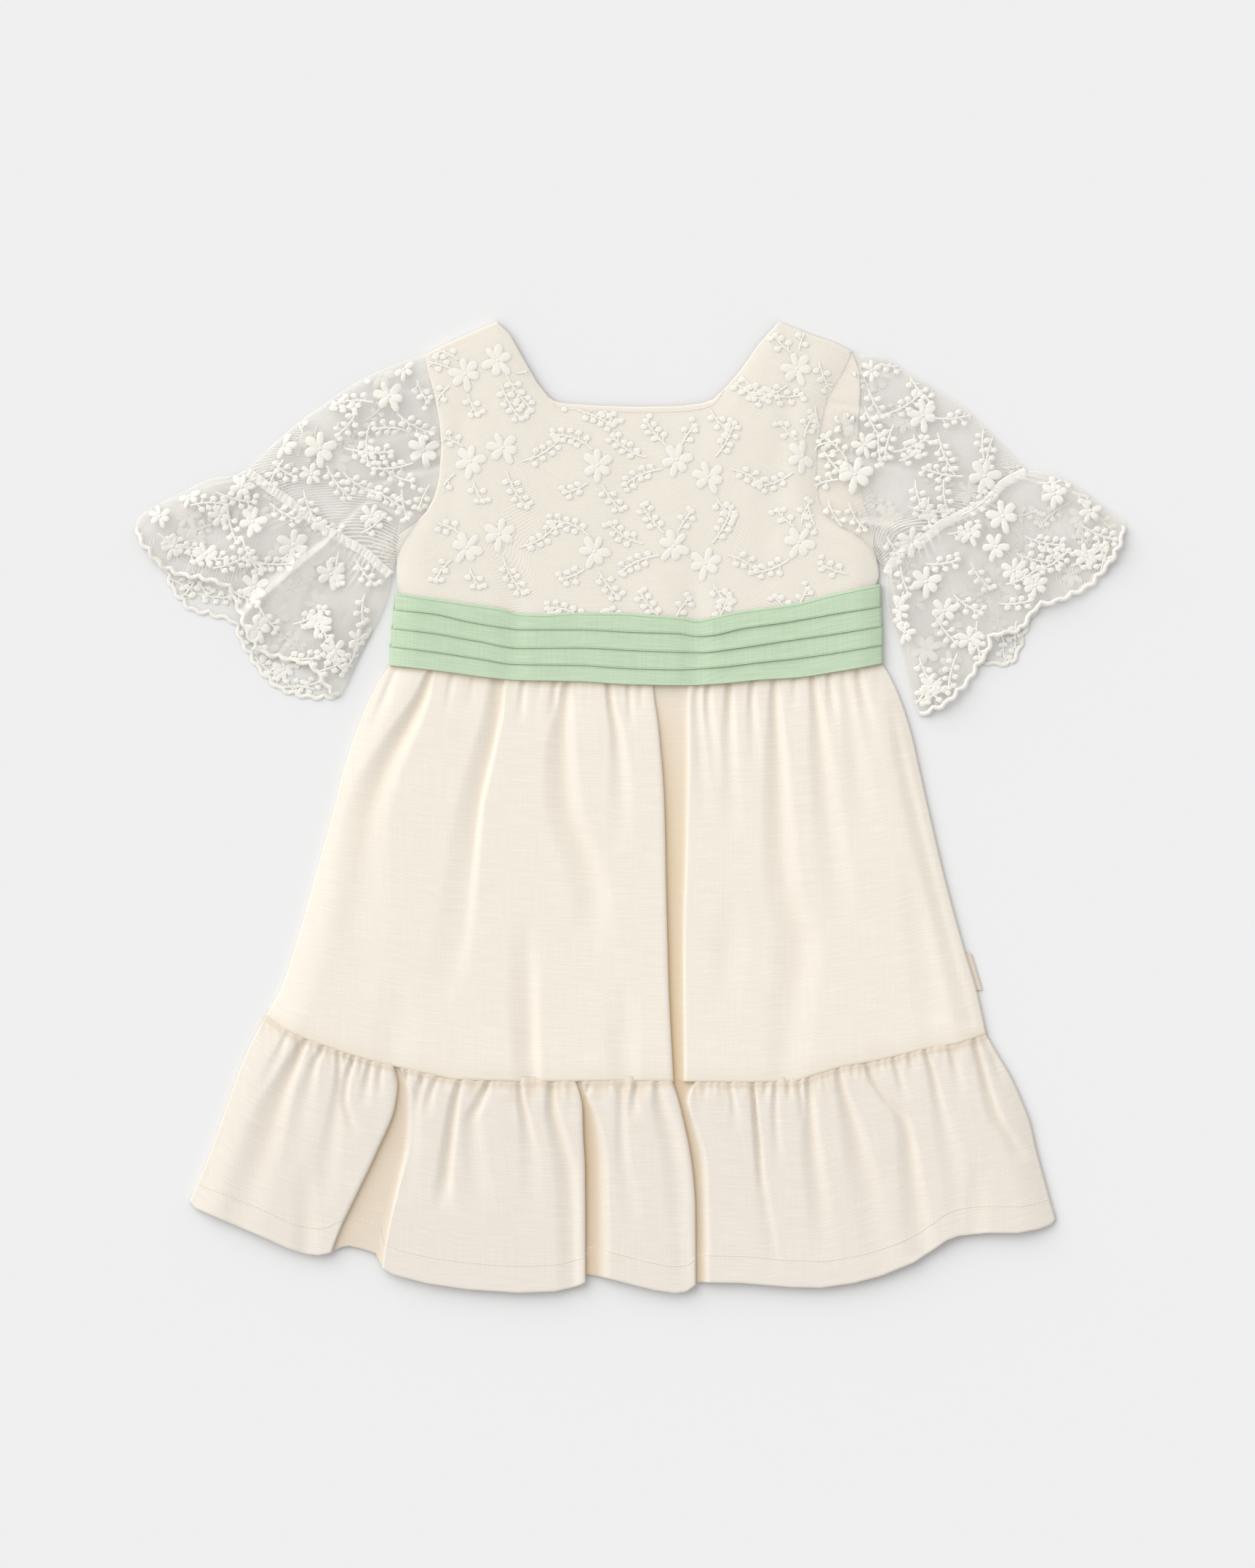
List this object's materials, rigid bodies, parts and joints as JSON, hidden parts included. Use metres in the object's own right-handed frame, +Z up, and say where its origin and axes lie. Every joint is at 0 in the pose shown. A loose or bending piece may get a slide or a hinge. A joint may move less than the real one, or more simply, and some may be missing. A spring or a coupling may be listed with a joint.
{
  "type": "toddler linen dress with lace sleeves, laid flat",
  "caption": "Short toddler's dress laid flat: linen skirt with a gathered hem flounce, tucked waist sash, lace overlay on the bodice and flounced net sleeves.",
  "frame": {"origin": "on the surface that the dress lies on, under the middle of its outline", "axes": "+X towards the wearer's left sleeve, +Y from the hem towards the neck, +Z up from the surface, out of the front of the dress"},
  "size_m": [0.5451, 0.5337, 0.009],
  "materials": {
    "linen": "plain-weave cream linen, matt",
    "lace": "off-white net embroidered with satin-stitch flowers and sprigs",
    "sash": "mint green plain-weave linen, matt",
    "label": "smooth woven ribbon, left bare"
  },
  "bodies": {
    "root": {"bodice_front": "linen", "bodice_lace": "lace", "bodice_back": "linen", "sash_front": "sash", "sash_back": "sash", "skirt_front": "linen", "skirt_back": "linen", "hem_flounce_front": "linen", "hem_flounce_back": "linen", "sleeve_right": "lace", "sleeve_left": "lace", "cuff_flounce_right": "lace", "cuff_flounce_left": "lace", "side_label": "label"}
  },
  "joints": []
}
